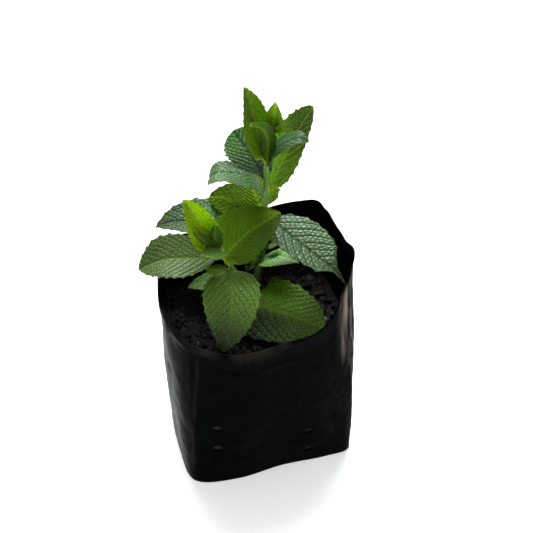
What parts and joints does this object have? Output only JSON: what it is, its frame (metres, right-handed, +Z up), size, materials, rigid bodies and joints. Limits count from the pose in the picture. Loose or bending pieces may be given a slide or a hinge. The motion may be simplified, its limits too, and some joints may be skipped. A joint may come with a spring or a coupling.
{
  "type": "potted mint plant",
  "caption": "Young mint plant with toothed, quilted leaves on two stems, growing in dark soil in a square-based black film grow bag with a wavy rim.",
  "frame": {"origin": "centre of the bag's flat base, on the surface that it rests on", "axes": "+Z up; -Y is the bag's front, the broad side with the low rim; +X is to the right seen from the front"},
  "size_m": [0.1214, 0.1014, 0.2347],
  "materials": {
    "bag_film": "thin glossy black polythene film, softly wrinkled",
    "potting_soil": "moist, dark, crumbly potting mix with fibres",
    "mint_stem": "pale green, finely hairy, four-cornered",
    "mint_leaf": "grey-green leaf with a soft sheen and sunken veins",
    "young_leaf": "bright yellow-green young leaf"
  },
  "bodies": {
    "root": {"grow_bag": "bag_film", "potting_soil": "potting_soil", "tall_stem": "mint_stem", "short_stem": "mint_stem", "leaf_big_right": "mint_leaf", "leaf_big_left": "mint_leaf", "leaf_back": "mint_leaf", "leaf_back_left": "mint_leaf", "leaf_drooping_left": "mint_leaf", "leaf_upright_right": "mint_leaf", "leaf_curled_left": "mint_leaf", "leaf_curled_right": "mint_leaf", "leaf_top_left": "mint_leaf", "leaf_top_front": "young_leaf", "leaf_top_tip": "young_leaf", "leaf_low_front": "mint_leaf", "leaf_low_left": "mint_leaf", "leaf_cupped": "mint_leaf", "leaf_young_back": "young_leaf", "leaf_young_front": "young_leaf", "leaf_small_left": "mint_leaf", "leaf_lowest_right": "mint_leaf", "leaf_small_right": "mint_leaf"}
  },
  "joints": []
}
